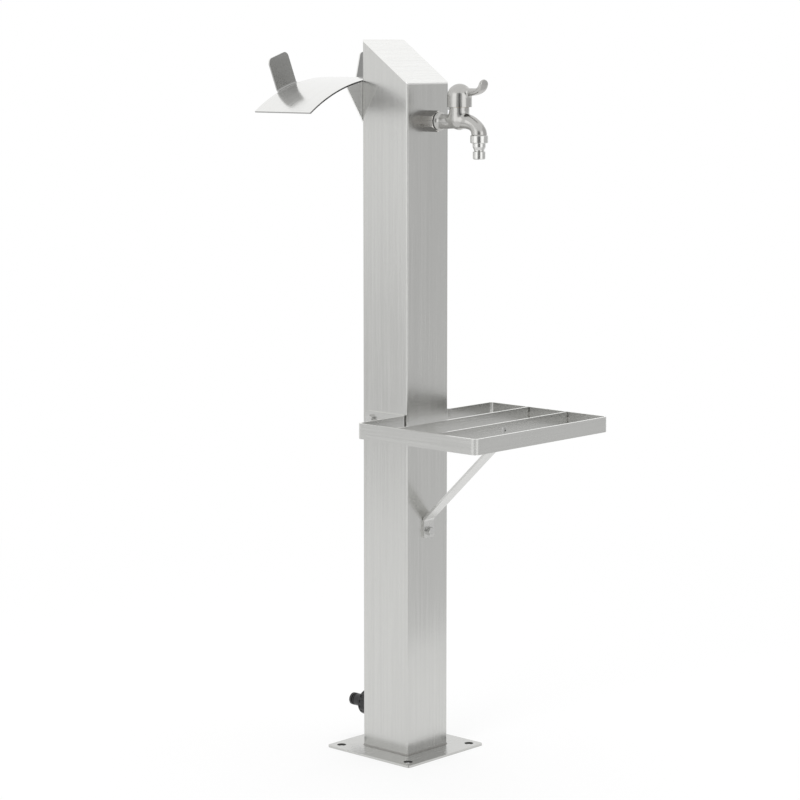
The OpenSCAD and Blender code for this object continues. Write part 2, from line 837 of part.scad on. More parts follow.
module tap_body() {
    neck_r = neck_d / 2;
    color(bright_steel)
    difference() {
        union() {
            barrel();
            at_stem(neck_top) rotate([180, 0, 0]) domed(neck_r, neck_h - bulb_inset);
            // The cast web between barrel and neck
            hull() {
                to_front(tap_z) translate([0, 0, stem_y - neck_r - 5])
                    cylinder(h = 2 * neck_r, r = barrel_d / 2 - 0.1, $fn = 32);
                at_stem(tap_z + 11) cylinder(h = 2, r = neck_r - 0.05, $fn = 32);
            }
            spout();
            translate([0, -spout_y, spout_z - spout_thread_l])
                cylinder(h = spout_thread_l + 1, r = spout_thread_r);
        }
        to_front(tap_z) translate([0, 0, body_face - cut]) cylinder(h = thread_l + 1, r = thread_r + fit);
        to_front(tap_z) translate([0, 0, body_face]) cylinder(h = stem_y - body_face, r = water_r);
        at_stem(tap_z) sphere(r = water_r);
        at_stem(tap_z) cylinder(h = seat_z - tap_z + cut, r = water_r);
        at_stem(seat_z) cylinder(h = neck_top - seat_z + cut, r = chamber_d / 2);
        spout_passage();
    }
}

// Ceramic cartridge in the neck, stacked on the seat

cartridge_r = chamber_d / 2 - 2;
seal_t = 1.5;
disc_t = 2.4;
disc_gap = 0.1;
fixed_z = seat_z + seal_t;
moving_z = fixed_z + disc_t + disc_gap;
flange_z = moving_z + disc_t;
flange_t = 2.4;
spindle_r = spindle_d / 2;
bonnet_hex_h = 6;
bonnet_top = neck_top + bonnet_hex_h + 3;
boss_low = bonnet_top + 0.6;
spindle_top = boss_low + 8;
o_ring_r = 0.8;
groove_z = [neck_top - 1, neck_top + 3];

module seat_seal() {
    color(black) at_stem(seat_z) ring(water_r, cartridge_r, seal_t);
}

// Disc with two round ports
module ported_disc(z) {
    port_r = 1.9;
    at_stem(z) difference() {
        cylinder(h = disc_t, r = cartridge_r);
        for (side = [-1, 1])
            translate([side * cartridge_r * 0.5, 0, -cut]) cylinder(h = disc_t + 2 * cut, r = port_r);
    }
}

module fixed_disc() {
    color("white") ported_disc(fixed_z);
}

// Shut, its ports stand a quarter turn away from those of the fixed disc
module moving_disc() {
    color("white") at_stem(0) rotate([0, 0, 90]) translate([0, stem_y, 0]) ported_disc(moving_z);
}

module spindle() {
    color(brass)
    at_stem(0) rotate_extrude()
        polygon([[0, flange_z], [cartridge_r, flange_z], [cartridge_r, flange_z + flange_t],
            [spindle_r, flange_z + flange_t],
            for (g = groove_z) each [[spindle_r, g - o_ring_r], [spindle_r - 2 * o_ring_r, g - o_ring_r],
                [spindle_r - 2 * o_ring_r, g + o_ring_r], [spindle_r, g + o_ring_r]],
            [spindle_r, spindle_top - 0.5], [spindle_r - 0.5, spindle_top], [0, spindle_top]]);
}

module spindle_o_rings() {
    color(black)
    for (g = groove_z) at_stem(g) rotate_extrude() translate([spindle_r - o_ring_r, 0]) circle(o_ring_r);
}

module bonnet_nut() {
    skirt_r = chamber_d / 2 - fit;
    color(brass)
    at_stem(0) difference() {
        union() {
            translate([0, 0, fixed_z]) cylinder(h = neck_top - fixed_z, r = skirt_r);
            translate([0, 0, neck_top]) hex_chamfered(19, bonnet_hex_h);
            translate([0, 0, neck_top]) cylinder(h = bonnet_top - neck_top, r = 6.5);
        }
        translate([0, 0, fixed_z - cut])
            cylinder(h = flange_z + flange_t + 0.2 - fixed_z + cut, r = cartridge_r + 0.1);
        translate([0, 0, fixed_z]) cylinder(h = bonnet_top - fixed_z + cut, r = spindle_r + fit);
        // Side windows, through which the water leaves the cartridge
        for (turn = [0, 90]) rotate([0, 0, turn])
            translate([-skirt_r - cut, -2.5, fixed_z - cut])
                cube([2 * skirt_r + 2 * cut, 5, disc_t + cut]);
    }
}

// Handle: a domed cap with the lever cast on it

cap_r = cap_d / 2;
cap_low = neck_top + cap_gap;
dome_z = cap_low + cap_side_h;
boss_r = 8;
lever_z = dome_z + 5.8;

function bezier(p, t) =
    let(s = 1 - t)
    s * s * s * p[0] + 3 * s * s * t * p[1] + 3 * s * t * t * p[2] + t * t * t * p[3];

function bezier_slope(p, t) =
    let(s = 1 - t)
    3 * s * s * (p[1] - p[0]) + 6 * s * t * (p[2] - p[1]) + 3 * t * t * (p[3] - p[2]);

// Middle line of the lever, as [distance from the stem, height]
lever_line = [[8, lever_z], [0.7 * lever_reach, lever_z - 0.7],
    [lever_reach + 0.6, lever_z - 1.4], [lever_reach, lever_z + lever_rise]];

// Width of the lever: it swells to the paddle and closes in a round end
function lever_width(t) =
    let(swell = lever_root_w + (lever_paddle_w - lever_root_w) * (1 - cos(180 * min(1, t / 0.75))) / 2,
        close = t < 0.84 ? 1 : sqrt(1 - pow((t - 0.84) / 0.164, 2)))
    swell * close;

function lever_thickness(t) =
    lever_tip_t + (lever_root_t - lever_tip_t) * pow(1 - t, 0.6);

function signed_power(v, e) = sign(v) * pow(abs(v), e);

// Cross-section of the lever: an oval with full sides
function lever_ring(t, n) =
    let(p = bezier(lever_line, t), d = bezier_slope(lever_line, t), u = d / norm(d),
        w = lever_width(t) / 2, h = lever_thickness(t) / 2)
    [for (i = [0 : n - 1])
        let(a = 360 * i / n, x = w * signed_power(cos(a), 0.75), s = h * signed_power(sin(a), 0.75))
        [x, -(p[0] - s * u[1]), p[1] + s * u[0]]];

module lever() {
    sides = 24;
    steps = 18;
    at_stem(0) loft([for (i = [0 : steps]) lever_ring(i / steps, sides)]);
}

module tap_handle() {
    inner_r = cap_r - cap_wall;
    // The boss ends inside the wall of the dome
    boss_top = dome_z + sqrt(inner_r * inner_r - boss_r * boss_r) + cap_wall * 0.6;
    color(bright_steel)
    difference() {
        union() {
            difference() {
                union() {
                    at_stem(cap_low) domed(cap_r, cap_side_h);
                    lever();
                }
                at_stem(cap_low - cut) domed(inner_r, cap_side_h + cut);
            }
            at_stem(boss_low) cylinder(h = boss_top - boss_low, r = boss_r);
        }
        at_stem(boss_low - cut) cylinder(h = spindle_top - boss_low + cut, r = spindle_r + fit);
        at_stem(boss_low + 3) rotate([-90, 0, 0]) cylinder(h = cap_r + cut, r = 2 + fit);
    }
}

module handle_screw() {
    color(black)
    at_stem(boss_low + 3) rotate([-90, 0, 0]) difference() {
        translate([0, 0, spindle_r + fit]) cylinder(h = boss_r - spindle_r, r = 2);
        translate([0, 0, boss_r - 2]) hex_prism(2, 3);
    }
}

// Spout end

collar_top = spout_z;
collar_r = collar_d / 2;
nipple_r = nipple_d / 2;
seal_low = collar_top - spout_thread_l - 1.2;

module at_spout(z) {
    translate([0, -spout_y, z]) children();
}

module spout_seal() {
    color(black) at_spout(seal_low) ring(water_r, spout_thread_r, 1.2);
}

// Turned adapter: collar with inner thread, then the tail for a quick coupling
module hose_nipple() {
    h = collar_top - collar_h;
    tip = h - nipple_l;
    color(bright_steel)
    at_spout(0) difference() {
        rotate_extrude()
            polygon([[0, collar_top], [collar_r - 0.8, collar_top], [collar_r, collar_top - 0.8],
                [collar_r, h + 0.8], [collar_r - 0.8, h], [nipple_r + 0.3, h], [nipple_r + 0.3, h - 5],
                [nipple_r - 1.6, h - 9], [nipple_r - 1.6, h - 10], [nipple_r, h - 11],
                [nipple_r, tip + 1], [nipple_r - 1, tip], [0, tip]]);
        translate([0, 0, seal_low]) cylinder(h = collar_top - seal_low + cut, r = spout_thread_r + fit);
        translate([0, 0, tip - cut]) cylinder(h = nipple_l + collar_h, r = water_r);
    }
}

// Inlet near the foot, at the back

stub_collar_end = half_post + stub_collar_t;
stub_end = stub_collar_end + stub_thread_l;
stub_tail_l = 17;
grip_start = stub_collar_end + 8;
grip_end = grip_start + grip_l;
tail_end = grip_end + coupling_tail_l;
coupling_r = coupling_d / 2;
inlet_seal_t = 2;
inlet_nut_t = 5;
groove_at = 9.2;
groove_w = 4.2;

module inlet_stub() {
    color(bright_steel)
    to_back(inlet_z) difference() {
        union() {
            translate([0, 0, half_post - stub_tail_l]) cylinder(h = stub_tail_l + cut, r = stub_d / 2);
            translate([0, 0, half_post]) hex_chamfered(stub_af, stub_collar_t, true);
            translate([0, 0, stub_collar_end - cut]) cylinder(h = stub_thread_l + cut, r = stub_thread_d / 2);
        }
        translate([0, 0, half_post - stub_tail_l - cut])
            cylinder(h = stub_end - half_post + stub_tail_l + 2 * cut, r = water_r);
    }
}

module inlet_lock_nut() {
    color(brass) to_back(inlet_z) translate([0, 0, inner_half - inlet_nut_t]) difference() {
        hex_chamfered(stub_d + 8, inlet_nut_t, true);
        translate([0, 0, -cut]) cylinder(h = inlet_nut_t + 2 * cut, r = stub_d / 2 + fit);
    }
}

module inlet_seal() {
    color(black) to_back(inlet_z) translate([0, 0, stub_end])
        ring(water_r, stub_thread_d / 2, inlet_seal_t);
}

module inlet_coupling() {
    thread_end = stub_end + inlet_seal_t;
    grip_r = grip_d / 2;
    color(black)
    to_back(inlet_z) difference() {
        rotate_extrude()
            polygon([[0, grip_start], [grip_r - 1, grip_start], [grip_r, grip_start + 1],
                [grip_r, grip_end - 1.5], [grip_r - 1.5, grip_end], [coupling_r + 4, grip_end + 0.5],
                [coupling_r, grip_end + 4],
                [coupling_r, tail_end - groove_at], [coupling_r - 2, tail_end - groove_at],
                [coupling_r - 2, tail_end - groove_at + groove_w], [coupling_r, tail_end - groove_at + groove_w],
                [coupling_r, tail_end - 1.2], [coupling_r - 1.2, tail_end], [0, tail_end]]);
        translate([0, 0, grip_start - cut])
            cylinder(h = thread_end - grip_start + cut, r = stub_thread_d / 2 + fit);
        translate([0, 0, grip_start]) cylinder(h = tail_end - grip_start + cut, r = water_r);
        for (i = [0 : flutes - 1]) rotate([0, 0, 360 * (i + 0.5) / flutes])
            translate([grip_r + 1.2, 0, grip_start - cut]) cylinder(h = grip_l - 3 + cut, r = 2.2);
    }
}

module coupling_o_ring() {
    ring_r = 1;
    color(black) to_back(inlet_z) translate([0, 0, tail_end - groove_at + groove_w / 2])
        rotate_extrude() translate([coupling_r - 2 + ring_r, 0]) circle(ring_r);
}

// Supply hose between two elbows inside the post

barb_r = hose_bore / 2 - fit;
elbow_bore = barb_r - 1.3;
barb_l = 22;
elbow_r = 9;
inlet_elbow_top = inlet_z + elbow_r + 4;
tap_elbow_low = tap_z - elbow_r - 6;
ferrule_l = 14;
hose_r = hose_d / 2;

// Elbow with a threaded socket to one side and a barb upwards, its middle at the origin.
// The socket reaches out along +Y to socket_y.
module elbow(socket_y, socket_r, thread, shoulder) {
    difference() {
        union() {
            sphere(r = elbow_r);
            rotate([-90, 0, 0]) cylinder(h = socket_y - 7, r = elbow_r - 1);
            translate([0, socket_y - 8, 0]) rotate([-90, 0, 0]) cylinder(h = 8, r = socket_r);
            cylinder(h = shoulder, r = elbow_r - 1);
            cylinder(h = shoulder + barb_l, r = barb_r);
        }
        sphere(r = elbow_bore);
        rotate([-90, 0, 0]) cylinder(h = socket_y, r = elbow_bore);
        translate([0, socket_y - 6, 0]) rotate([-90, 0, 0]) cylinder(h = 6 + cut, r = thread + fit);
        cylinder(h = shoulder + barb_l + cut, r = elbow_bore);
    }
}

module inlet_elbow() {
    socket_end = half_post - stub_tail_l + 6;
    color(brass) translate([0, 0, inlet_z])
        elbow(socket_end, stub_d / 2 + 2.5, stub_d / 2, inlet_elbow_top - inlet_z);
}

module tap_elbow() {
    socket_end = half_post - tail_l + 6;
    color(brass) translate([0, 0, tap_z]) rotate([180, 0, 0])
        elbow(socket_end, tail_d / 2 + 2, tail_d / 2, tap_z - tap_elbow_low);
}

// The hose rises straight along the middle of the post, pushed over both barbs
module supply_hose() {
    color([0.6, 0.6, 0.6]) translate([0, 0, inlet_elbow_top])
        ring(hose_bore / 2, hose_r, tap_elbow_low - inlet_elbow_top);
}

module hose_ferrules() {
    gap = 1;
    color(bright_steel) {
        for (z = [inlet_elbow_top + gap, tap_elbow_low - gap - ferrule_l])
            translate([0, 0, z]) ring(hose_r + fit, hose_r + 0.8, ferrule_l);
    }
}

post_tube();
top_lid();
base_plate();
base_weld();
shelf_rim();
shelf_slat_rear();
shelf_slat_front();
shelf_welds();
slat_insert();
shelf_bolts();
shelf_washers();
brace_strut();
brace_bolts();
brace_washers();
post_rivet_nuts();
hose_saddle();
saddle_back_plate();
saddle_welds();
saddle_bolts();
saddle_washers();
tap_adapter();
tap_gasket();
tap_lock_nut();
tap_lock_washer();
tap_body();
bonnet_nut();
seat_seal();
fixed_disc();
moving_disc();
spindle();
spindle_o_rings();
tap_handle();
handle_screw();
spout_seal();
hose_nipple();
inlet_stub();
inlet_lock_nut();
inlet_seal();
inlet_coupling();
coupling_o_ring();
inlet_elbow();
tap_elbow();
supply_hose();
hose_ferrules();
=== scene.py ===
import bpy
import numpy as np
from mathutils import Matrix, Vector


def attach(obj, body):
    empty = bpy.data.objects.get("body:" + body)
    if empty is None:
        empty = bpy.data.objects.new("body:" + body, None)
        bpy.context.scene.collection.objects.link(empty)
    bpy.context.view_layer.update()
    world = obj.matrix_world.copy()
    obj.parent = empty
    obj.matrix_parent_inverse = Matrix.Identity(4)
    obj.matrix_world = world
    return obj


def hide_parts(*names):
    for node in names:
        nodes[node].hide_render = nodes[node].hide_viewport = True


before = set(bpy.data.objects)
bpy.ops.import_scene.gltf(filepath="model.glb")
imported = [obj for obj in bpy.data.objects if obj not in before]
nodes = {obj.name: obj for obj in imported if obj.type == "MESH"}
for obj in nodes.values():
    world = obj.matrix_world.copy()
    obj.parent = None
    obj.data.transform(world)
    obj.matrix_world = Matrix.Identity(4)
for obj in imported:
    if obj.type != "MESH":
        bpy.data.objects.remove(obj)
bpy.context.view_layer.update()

# Post
# A square tube of thin stainless sheet, ground with a belt along its length, so fine lines
# run from the foot to the top. The lid is a flat sheet, ground from side to side and welded flush
# on the tube's sloping end; its pale colour is a painted highlight.


def add_node(tree, kind, **inputs):
    """A shader node with its input sockets set from the named values."""
    node = tree.nodes.new(kind)
    for name, value in inputs.items():
        node.inputs[name.replace("_", " ")].default_value = value
    return node


def worked_out(tree, operation, first, second=None):
    """The math operation on one or two patterns."""
    node = tree.nodes.new("ShaderNodeMath")
    node.operation = operation
    tree.links.new(first, node.inputs[0])
    if second is not None:
        tree.links.new(second, node.inputs[1])
    return node.outputs[0]


def coordinates(tree, kind):
    """X, Y and Z of the place (Object) or of the way the surface looks (Normal)."""
    coords = tree.nodes.new("ShaderNodeTexCoord")
    split = tree.nodes.new("ShaderNodeSeparateXYZ")
    tree.links.new(coords.outputs[kind], split.inputs[0])
    return split.outputs


def stretched_noise(tree, scale, detail):
    """Noise on Object coordinates that is stretched by three scales in 1/m: a small scale
    along an axis draws long lines in that direction."""
    coords = tree.nodes.new("ShaderNodeTexCoord")
    mapping = add_node(tree, "ShaderNodeMapping", Scale=scale)
    noise = add_node(tree, "ShaderNodeTexNoise", Scale=1.0, Detail=detail, Roughness=0.6)
    tree.links.new(coords.outputs["Object"], mapping.inputs["Vector"])
    tree.links.new(mapping.outputs["Vector"], noise.inputs["Vector"])
    return noise.outputs["Fac"]


def remap(tree, value, low, high, from_low=0.3, from_high=0.7):
    """Linear map of a pattern to the range low..high, clamped. Noise seldom leaves the middle
    of 0..1, so from_low and from_high are set to that unless the call gives others."""
    node = tree.nodes.new("ShaderNodeMapRange")
    node.inputs["From Min"].default_value = from_low
    node.inputs["From Max"].default_value = from_high
    node.inputs["To Min"].default_value = low
    node.inputs["To Max"].default_value = high
    tree.links.new(value, node.inputs["Value"])
    return node.outputs["Result"]


def mixed_colour(tree, factor, dark, light):
    """Colour between dark and light by a noise pattern."""
    ramp = tree.nodes.new("ShaderNodeValToRGB")
    ramp.color_ramp.elements[0].position = 0.3
    ramp.color_ramp.elements[1].position = 0.7
    ramp.color_ramp.elements[0].color = (*dark, 1.0)
    ramp.color_ramp.elements[1].color = (*light, 1.0)
    tree.links.new(factor, ramp.inputs["Fac"])
    return ramp.outputs["Color"]


def blended(tree, factor, first, second):
    """The first pattern where the factor is 0 and the second where it is 1."""
    mix = tree.nodes.new("ShaderNodeMix")
    tree.links.new(factor, mix.inputs["Factor"])
    tree.links.new(first, mix.inputs["A"])
    tree.links.new(second, mix.inputs["B"])
    return mix.outputs["Result"]


def looking_along(axis, start, stop):
    """Pattern that is 1 where the surface looks along the axis, in either direction, and 0 where
    it looks across it; start and stop are the normal's shares where it begins and is full."""
    def pattern(tree):
        size = worked_out(tree, "ABSOLUTE", coordinates(tree, "Normal")[axis])
        return remap(tree, size, 0.0, 1.0, start, stop)
    return pattern


def new_material(name, metallic):
    """A material, its node tree and its shader."""
    material = bpy.data.materials.new(name)
    material.use_nodes = True
    tree = material.node_tree
    shader = tree.nodes["Principled BSDF"]
    shader.inputs["Metallic"].default_value = metallic
    return material, tree, shader


def scaled_colour(colour, factor, lift=0.0):
    """The colour times a factor, kept below white."""
    return tuple(min(1.0, part * factor + lift) for part in colour)


def dent(tree, shader, height, strength, distance):
    """The pattern dents the surface by the distance in metres, at the given strength."""
    bump = add_node(tree, "ShaderNodeBump", Strength=strength, Distance=distance)
    tree.links.new(height, bump.inputs["Height"])
    tree.links.new(bump.outputs["Normal"], shader.inputs["Normal"])


def ground_steel(name, fine, colour, roughness, line, turned_lines=None, painted_light=None):
    """Belt-ground stainless steel. Fine and coarse grinding lines come from noise with the
    scales `fine` in 1/m, small along the lines; they move the roughness, tint the metal and
    dent the surface, all in proportion to `line`. Broad soft patches show where hands and the
    foil have been. turned_lines holds a pattern and the scales of the lines where it is 1. The
    last argument holds a pattern and how many times as bright the colour is where it is 1: it
    paints light or shade into the colour."""
    material, tree, shader = new_material(name, 1.0)
    coarser = 0.17
    fine_lines = stretched_noise(tree, fine, 3.0)
    coarse_lines = stretched_noise(tree, [coarser * scale for scale in fine], 2.0)
    if turned_lines:
        pattern, scales = turned_lines
        factor = pattern(tree)
        fine_turned = stretched_noise(tree, scales, 3.0)
        coarse_turned = stretched_noise(tree, [coarser * scale for scale in scales], 2.0)
        fine_lines = blended(tree, factor, fine_lines, fine_turned)
        coarse_lines = blended(tree, factor, coarse_lines, coarse_turned)
    patches = stretched_noise(tree, (14.0, 14.0, 9.0), 3.0)
    lines = worked_out(tree, "ADD", remap(tree, fine_lines, 0.0, 0.55), remap(tree, coarse_lines, 0.0, 0.45))
    smoothest, roughest = roughness - 0.05 * line, roughness + 0.07 * line
    rough_lines = remap(tree, lines, smoothest, roughest, 0.1, 0.9)
    rough_patches = remap(tree, patches, -0.025, 0.035)
    tree.links.new(worked_out(tree, "ADD", rough_lines, rough_patches), shader.inputs["Roughness"])
    dark, light = scaled_colour(colour, 1 - 0.07 * line), scaled_colour(colour, 1 + 0.05 * line)
    tint = mixed_colour(tree, lines, dark, light)
    # Painted light and shade: the colour is scaled by the pattern.
    if painted_light:
        pattern, brightness = painted_light
        scaled = tree.nodes.new("ShaderNodeVectorMath")
        scaled.operation = "SCALE"
        tree.links.new(tint, scaled.inputs[0])
        tree.links.new(remap(tree, pattern(tree), 1.0, brightness, 0.0, 1.0), scaled.inputs["Scale"])
        tint = scaled.outputs[0]
    tree.links.new(tint, shader.inputs["Base Color"])
    dent(tree, shader, lines, 0.16 * line, 0.0001)
    return material


def dress(material, *names):
    """The material goes on every slot of these CAD nodes."""
    for name in names:
        for slot in nodes[name].material_slots:
            slot.material = material


# The second colour is the same steel painted pale: a painted highlight on the lid, which faces the light
# above, and painted light on the saddle's back plate, which lies in shade.
steel_colour, highlit_colour = (0.60, 0.60, 0.585), (0.9, 0.9, 0.885)
# Noise scales in 1/m of the lines that run upright, from side to side and from front to back
UPRIGHT, CROSSWISE, FORWARD = (2600, 2600, 20), (20, 2600, 2600), (2600, 20, 2600)
dress(ground_steel("post_ground", UPRIGHT, steel_colour, 0.22, 0.5), "post_tube")
dress(ground_steel("lid_ground", CROSSWISE, highlit_colour, 0.25, 0.5), "top_lid")


def bright_steel(name, colour, roughness, scale=2400.0, bump_height=0.000004):
    """Bright metal with a faint even grain: one noise moves the roughness and dents the
    surface, a broad one clouds it."""
    material, tree, shader = new_material(name, 1.0)
    grain = stretched_noise(tree, (scale,) * 3, 3.0)
    clouds = stretched_noise(tree, (60.0,) * 3, 3.0)
    rough_grain = remap(tree, grain, roughness * 0.92, roughness * 1.08)
    rough_clouds = remap(tree, clouds, -0.015, 0.025)
    tree.links.new(worked_out(tree, "ADD", rough_grain, rough_clouds), shader.inputs["Roughness"])
    dark, light = scaled_colour(colour, 0.95), scaled_colour(colour, 1.03)
    tree.links.new(mixed_colour(tree, clouds, dark, light), shader.inputs["Base Color"])
    dent(tree, shader, grain, 0.1, bump_height)
    return material


# Foot
# A laser-cut plate of three millimetres, welded all round to the foot of the post. The weld
# bead is darker and lumpier than the sheet.


def shaded_hole_walls(tree):
    """1 on upright faces less than 73.5 mm from the middle of the plate: the walls of its holes,
    which are painted dark as shade.
    """
    place = coordinates(tree, "Object")
    reach = worked_out(tree, "MAXIMUM", *[worked_out(tree, "ABSOLUTE", place[axis]) for axis in range(2)])
    inside = remap(tree, reach, 1.0, 0.0, 0.0735, 0.0740)
    upright = remap(tree, looking_along(2, 0.3, 0.6)(tree), 1.0, 0.0, 0.0, 1.0)
    return worked_out(tree, "MULTIPLY", upright, inside)


# The walls of the holes are painted nearly black: painted shade inside them.
foot_steel = ground_steel("foot_ground", CROSSWISE, (0.57, 0.57, 0.555), 0.24, 0.5, painted_light=(shaded_hole_walls, 0.12))
dress(foot_steel, "base_plate")
weld_colour, weld_grain, weld_lumps = (0.5, 0.49, 0.47), 420.0, 0.0004
dress(bright_steel("weld_seam", (0.3, 0.295, 0.28), 0.3, weld_grain, weld_lumps), "base_weld")

# Shelf
# Flat bar bent to a frame with two cross bars tacked into it. The bar was ground along its
# length, so each bar has its lines along its own direction. Its narrow faces that look up and
# down are painted brighter: a painted highlight.
# Faces that look up or down are painted 1.6 times as bright: a painted highlight.
highlit_bar_edges = looking_along(2, 0.6, 0.8)
front_and_back = looking_along(1, 0.55, 0.75)
rim_steel = ground_steel("rim_ground", FORWARD, steel_colour, 0.24, 0.4,
                         turned_lines=(front_and_back, CROSSWISE), painted_light=(highlit_bar_edges, 1.6))
slat_steel = ground_steel("slat_ground", CROSSWISE, steel_colour, 0.24, 0.4, painted_light=(highlit_bar_edges, 1.6))
dress(rim_steel, "shelf_rim")
dress(slat_steel, "shelf_slat_rear", "shelf_slat_front")
dress(bright_steel("tack_weld", weld_colour, 0.3, weld_grain, weld_lumps), "shelf_welds")
dress(bright_steel("brace_steel", (0.66, 0.66, 0.645), 0.28, 300.0, 0.00004), "brace_strut")

# Fasteners
# Cold-formed stainless bolts, washers and rivet nuts with a bright drawn surface, and the
# ferrules that are pressed on the ends of the hose.
dress(bright_steel("fastener_steel", (0.62, 0.62, 0.61), 0.24),
      "slat_insert", "shelf_bolts", "shelf_washers", "brace_bolts", "brace_washers",
      "post_rivet_nuts", "saddle_bolts", "saddle_washers", "tap_lock_washer", "hose_ferrules")

# Hose saddle
# A rolled sheet with two lips folded up from its free edge, on a back plate bolted to the post.
# It is ground more finely than the post, along its curve and from side to side on the lips. Its
# pale top is a painted highlight, and its lips, edges and underside are painted shade.
stands_up = looking_along(1, 0.1, 0.4)


def shaded_lips_and_underside(tree):
    """1 on the lips, the straight edges of the sheet and everything that looks down, all painted
    darker as shade.
    """
    downwards = remap(tree, coordinates(tree, "Normal")["Z"], 1.0, 0.0, -0.35, -0.2)
    return worked_out(tree, "MAXIMUM", stands_up(tree), downwards)


# The sheet's pale colour is a painted highlight, and the lips, edges and underside are painted down to less
# than half of it as shade.
saddle_steel = ground_steel("saddle_ground", (20, 2600, 20), (0.84, 0.84, 0.825), 0.18, 0.35,
                            turned_lines=(stands_up, (20, 20, 2600)), painted_light=(shaded_lips_and_underside, 0.45))
dress(saddle_steel, "hose_saddle")
# The back plate's pale colour is painted light on a plate that lies in shade.
dress(ground_steel("back_plate_ground", CROSSWISE, highlit_colour, 0.45, 0.3), "saddle_back_plate")
dress(bright_steel("seam_weld", weld_colour, 0.3, weld_grain, weld_lumps), "saddle_welds")

# Tap
# A cast body with a barrel, a neck for the ceramic cartridge and a curved spout, a domed cap
# with a curled lever cast on it, an adapter and a hose nipple. Lengths are in millimetres.
MM = 0.001


def closed_skin(name, rings):
    """Closed mesh over rings, an array of (rings, points, xyz): four-sided faces between
    neighbours and one flat face on the first and the last ring. Seen from the last ring, the
    points run against the clock."""
    rows, columns = rings.shape[:2]
    index = np.arange(rows * columns).reshape(rows, columns)
    following = np.roll(index, -1, axis=1)
    quads = np.stack([index[:-1], following[:-1], following[1:], index[1:]], axis=-1)
    faces = quads.reshape(-1, 4).tolist() + [index[0, ::-1].tolist(), index[-1].tolist()]
    mesh = bpy.data.meshes.new(name)
    mesh.from_pydata((rings.reshape(-1, 3) * MM).tolist(), [], faces)
    return mesh


def full_turn(count):
    """Angles of a whole turn, one for each point of a ring."""
    return np.linspace(0, 2 * np.pi, count, endpoint=False)[None]


def turned(profile):
    """Rings of a turned shape about the upright axis: profile holds (radius, height) pairs, and
    each point is (radius cos a, radius sin a, height)."""
    radius, height = np.array(profile, float).T[:, :, None]
    angle = full_turn(96)
    return np.stack([radius * np.cos(angle), radius * np.sin(angle), height + 0 * angle], axis=-1)


def laid_forward(rings, height):
    """The rings tipped over, so that their upright axis points to the front (-Y)."""
    return np.stack([rings[..., 0], -rings[..., 2], rings[..., 1] + height], axis=-1)


def set_forward(rings, distance):
    """The rings moved to the front by the distance."""
    return rings + np.array([0, -distance, 0])


def arc(radius, middle, start, stop, count=16):
    """Points (radius cos a, middle + radius sin a), a from start to stop in degrees."""
    angle = np.radians(np.linspace(start, stop, count))
    return list(zip(radius * np.cos(angle), middle + radius * np.sin(angle)))


def joined(name, meshes):
    """One object that holds all the meshes."""
    work = bpy.data.meshes.new(name)
    points, faces, base = [], [], 0
    for mesh in meshes:
        block = np.empty(len(mesh.vertices) * 3)
        mesh.vertices.foreach_get("co", block)
        points.append(block.reshape(-1, 3))
        faces += [[base + corner for corner in face.vertices] for face in mesh.polygons]
        base += len(mesh.vertices)
    work.from_pydata(np.concatenate(points).tolist(), [], faces)
    thing = bpy.data.objects.new(name, work)
    bpy.context.scene.collection.objects.link(thing)
    return thing


def applied(thing):
    """The object's mesh with its modifiers applied, in place of its old one."""
    graph = bpy.context.evaluated_depsgraph_get()
    mesh = bpy.data.meshes.new_from_object(thing.evaluated_get(graph))
    thing.modifiers.clear()
    thing.data = mesh
    return mesh


def cast(name, meshes, voxel, blends):
    """Closed shapes melted into one casting: a voxel remesh joins them, then every point moves
    half way to the mean of its neighbours, turn after turn. In the first turns all points move,
    to clear the voxel steps. In the others only those near a blend do, given as (place, reach)
    with the weight exp(-(distance / reach)^4), until the crease is a round fillet."""
    clearing, turns, step = 14, 240, 0.5
    thing = joined(name, meshes)
    remesh = thing.modifiers.new("melt", "REMESH")
    remesh.mode = "VOXEL"
    remesh.voxel_size = voxel * MM
    mesh = applied(thing)
    points = np.empty(len(mesh.vertices) * 3)
    mesh.vertices.foreach_get("co", points)
    points = points.reshape(-1, 3)
    ends = np.empty(len(mesh.edges) * 2, int)
    mesh.edges.foreach_get("vertices", ends)
    first, second = ends.reshape(-1, 2).T
    valence = np.bincount(ends, minlength=len(points))[:, None]
    near = np.zeros(len(points))
    for place, reach in blends:
        away = np.linalg.norm(points - np.array(place) * MM, axis=1) / (reach * MM)
        near = np.maximum(near, np.exp(-away ** 4))
    for turn in range(turns):
        weight = step * (near[:, None] if turn >= clearing else 1.0)
        sums = [np.bincount(first, points[second, axis], len(points))
                + np.bincount(second, points[first, axis], len(points)) for axis in range(3)]
        points = points + weight * (np.stack(sums, axis=1) / valence - points)
    mesh.vertices.foreach_set("co", points.ravel())
    mesh.update()
    return thing


def machined(thing, **cutters):
    """Each cutter, named rings of a closed skin, is taken out of the casting, and only real edges
    stay sharp."""
    for name, rings in cutters.items():
        tool = bpy.data.objects.new("tool", closed_skin(name, rings))
        bpy.context.scene.collection.objects.link(tool)
        cut = thing.modifiers.new("cut", "BOOLEAN")
        cut.operation = "DIFFERENCE"
        cut.solver = "EXACT"
        cut.object = tool
        applied(thing)
        bpy.data.objects.remove(tool)
    thing.data.shade_smooth()
    thing.data.set_sharp_from_angle(angle=np.radians(38))


# The barrel's height, and how far the valve's axis and the spout's end stand in front of the
# middle of the post
tap_z, stem_y, spout_y = 844.5, 94.5, 128.1
body_face, neck_top, seat_z = 60.0, 863.2, 849.0
barrel_r, neck_r, shoulder_r = 9.5, 12.75, 12.3

